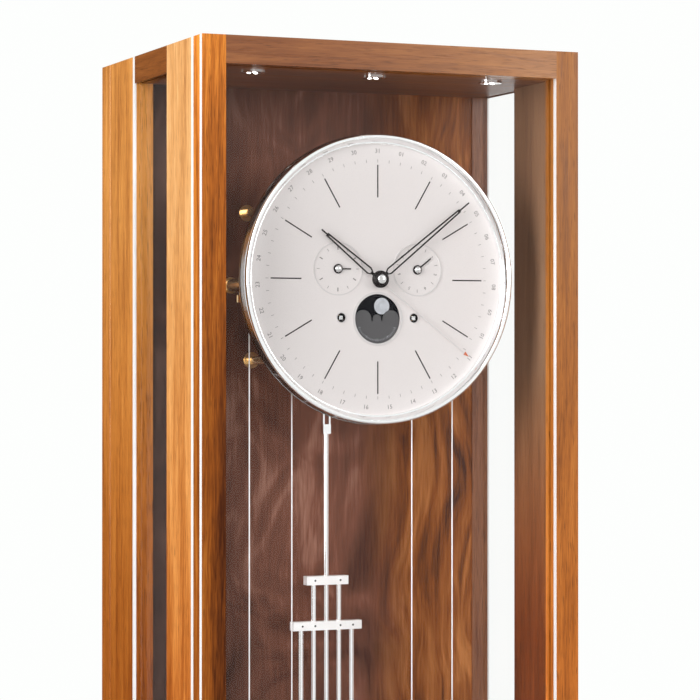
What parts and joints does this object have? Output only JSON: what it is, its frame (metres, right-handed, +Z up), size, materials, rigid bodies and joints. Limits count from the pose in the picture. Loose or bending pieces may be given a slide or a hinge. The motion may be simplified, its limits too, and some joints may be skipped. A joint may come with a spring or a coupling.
{
  "type": "longcase clock",
  "caption": "Flat-topped longcase clock: glazed walnut case with pale inlay, calendar dial with moon window, gridiron pendulum and two cable-driven weights.",
  "frame": {"origin": "on the floor, at the middle of the plinth's footprint", "axes": "+X to the right seen from the front, +Y to the back, +Z up; the front faces -Y"},
  "size_m": [0.46, 0.36, 1.95],
  "materials": {
    "walnut": "satin walnut veneer",
    "walnut_dark": "satin figured walnut",
    "inlay": "satin pale metal strip",
    "pane": "clear",
    "chrome": "polished",
    "dial": "fine silvered satin",
    "grey_mask": "satin grey",
    "night": "gloss dark with a pale moon",
    "black_steel": "satin black",
    "brass": "polished",
    "steel": "fine polished steel",
    "nickel": "satin nickel",
    "cable": "stranded"
  },
  "bodies": {
    "case": {"plinth": "walnut", "bottom_board": "walnut", "top_board": "walnut", "left_front_post": "walnut", "right_front_post": "walnut", "left_back_post": "walnut", "right_back_post": "walnut", "back_panel": "walnut_dark", "rear_cover": "walnut", "side_rails": "walnut", "side_glasses": "pane", "case_inlay_strips": "inlay", "ceiling_spots": "chrome", "hinge_plates": "nickel", "hinge_pins": "steel", "dial_plate": "dial", "bezel": "chrome", "dial_rims": "chrome", "moon_mask": "grey_mask", "mounting_bracket": "black_steel", "dial_pillars": "brass", "thumb_screws": "brass", "movement_plates": "brass", "movement_pillars": "brass", "bell": "brass", "time_cable": "cable", "strike_cable": "cable"},
    "door": {"door_left_stile": "walnut", "door_right_stile": "walnut", "door_top_rail": "walnut", "door_bottom_rail": "walnut", "door_glass": "pane", "door_inlay_strips": "inlay", "door_lock": "nickel"},
    "key": {"door_key": "nickel"},
    "moon": {"moon_disc": "night"},
    "hour": {"hour_hand": "black_steel"},
    "minute": {"minute_hand": "black_steel"},
    "date": {"date_hand": "nickel"},
    "month": {"month_hand": "black_steel"},
    "weekday": {"weekday_hand": "black_steel"},
    "time_barrel": {"time_drum": "brass"},
    "strike_barrel": {"strike_drum": "brass"},
    "great": {"great_wheel": "brass"},
    "centre": {"centre_wheel": "brass"},
    "third": {"third_wheel": "brass"},
    "escape": {"escape_wheel": "brass"},
    "pallets": {"anchor": "steel"},
    "striker": {"hammer": "steel"},
    "pendulum": {"suspension_spring": "steel", "pendulum_rods": "steel", "pendulum_crossbars": "steel", "pendulum_bob": "nickel"},
    "regulator": {"rating_nut": "nickel"},
    "time_load": {"time_weight": "nickel", "time_stirrup": "steel"},
    "strike_load": {"strike_weight": "nickel", "strike_stirrup": "steel"},
    "time_sheave": {"time_pulley": "nickel"},
    "strike_sheave": {"strike_pulley": "nickel"}
  },
  "joints": [
    {"name": "door_hinge", "type": "hinge", "parent": "case", "child": "door", "pos_m": [0.214, -0.149, 1], "axis": [0, 0, 1], "range_deg": [0, 95]},
    {"name": "key_turn", "type": "hinge", "parent": "door", "child": "key", "pos_m": [-0.209, -0.16, 1], "axis": [0, 1, 0], "range_deg": [0, 90]},
    {"name": "minute_turn", "type": "hinge", "parent": "case", "child": "minute", "pos_m": [0, -0.11, 1.6975], "axis": [0, 1, 0], "continuous": true},
    {"name": "hour_turn", "type": "hinge", "parent": "case", "child": "hour", "pos_m": [0, -0.11, 1.6975], "axis": [0, 1, 0], "continuous": true},
    {"name": "date_turn", "type": "hinge", "parent": "case", "child": "date", "pos_m": [0, -0.115, 1.6975], "axis": [0, 1, 0], "continuous": true},
    {"name": "month_turn", "type": "hinge", "parent": "case", "child": "month", "pos_m": [-0.047, -0.12, 1.7085], "axis": [0, 1, 0], "continuous": true},
    {"name": "weekday_turn", "type": "hinge", "parent": "case", "child": "weekday", "pos_m": [0.047, -0.12, 1.7085], "axis": [0, 1, 0], "continuous": true},
    {"name": "moon_turn", "type": "hinge", "parent": "case", "child": "moon", "pos_m": [0, -0.11, 1.6545], "axis": [0, 1, 0], "continuous": true},
    {"name": "escape_turn", "type": "hinge", "parent": "case", "child": "escape", "pos_m": [0, -0.045, 1.74758], "axis": [0, 1, 0], "continuous": true},
    {"name": "third_turn", "type": "hinge", "parent": "case", "child": "third", "pos_m": [-0.008, -0.057, 1.72517], "axis": [0, 1, 0], "continuous": true},
    {"name": "centre_turn", "type": "hinge", "parent": "case", "child": "centre", "pos_m": [0, -0.063, 1.6975], "axis": [0, 1, 0], "continuous": true},
    {"name": "great_turn", "type": "hinge", "parent": "case", "child": "great", "pos_m": [0.043, -0.069, 1.6555], "axis": [0, 1, 0], "continuous": true},
    {"name": "pendulum_swing", "type": "hinge", "parent": "case", "child": "pendulum", "pos_m": [0, 0.029, 1.77304], "axis": [0, 1, 0], "range_deg": [-2.5, 2.5]},
    {"name": "anchor_rock", "type": "hinge", "parent": "case", "child": "pallets", "pos_m": [0, -0.045, 1.77304], "axis": [0, 1, 0], "range_deg": [-2.5, 2.5]},
    {"name": "hammer_swing", "type": "hinge", "parent": "case", "child": "striker", "pos_m": [0, 0.015, 1.8155], "axis": [0, 1, 0], "range_deg": [0, 10], "stiffness_Nm_per_rad": 0.02, "springref_deg": -17.19},
    {"name": "rating_nut_turn", "type": "hinge", "parent": "pendulum", "child": "regulator", "pos_m": [0, 0.029, 0.6675], "axis": [0, 0, 1], "continuous": true},
    {"name": "time_weight_slide", "type": "slide", "parent": "case", "child": "time_load", "axis": [0, 0, 1], "range_m": [0, 1.1], "deforming": ["time_cable"]},
    {"name": "time_pulley_turn", "type": "hinge", "parent": "time_load", "child": "time_sheave", "pos_m": [0.0975, -0.049, 0.44], "axis": [0, 1, 0], "range_deg": [-2527, 2527]},
    {"name": "time_drum_turn", "type": "hinge", "parent": "case", "child": "time_barrel", "pos_m": [0.043, -0.053, 1.6555], "axis": [0, 1, 0], "range_deg": [-4278, 4278]},
    {"name": "strike_weight_slide", "type": "slide", "parent": "case", "child": "strike_load", "axis": [0, 0, 1], "range_m": [0, 1.1], "deforming": ["strike_cable"]},
    {"name": "strike_pulley_turn", "type": "hinge", "parent": "strike_load", "child": "strike_sheave", "pos_m": [-0.0975, -0.049, 0.44], "axis": [0, 1, 0], "range_deg": [-2527, 2527]},
    {"name": "strike_drum_turn", "type": "hinge", "parent": "case", "child": "strike_barrel", "pos_m": [-0.043, -0.053, 1.6555], "axis": [0, 1, 0], "range_deg": [-4278, 4278]}
  ],
  "couplings": [
    {"joint": "hour_turn", "follows": "minute_turn", "ratio": 0.083333},
    {"joint": "third_turn", "follows": "escape_turn", "ratio": -0.13333},
    {"joint": "centre_turn", "follows": "escape_turn", "ratio": 0.016667},
    {"joint": "great_turn", "follows": "escape_turn", "ratio": -0.0020833},
    {"joint": "anchor_rock", "follows": "pendulum_swing", "ratio": 1},
    {"joint": "time_pulley_turn", "follows": "time_weight_slide", "rad_per_m": 40},
    {"joint": "time_drum_turn", "follows": "time_weight_slide", "rad_per_m": -67.797},
    {"joint": "strike_pulley_turn", "follows": "strike_weight_slide", "rad_per_m": -40},
    {"joint": "strike_drum_turn", "follows": "strike_weight_slide", "rad_per_m": 67.797}
  ]
}
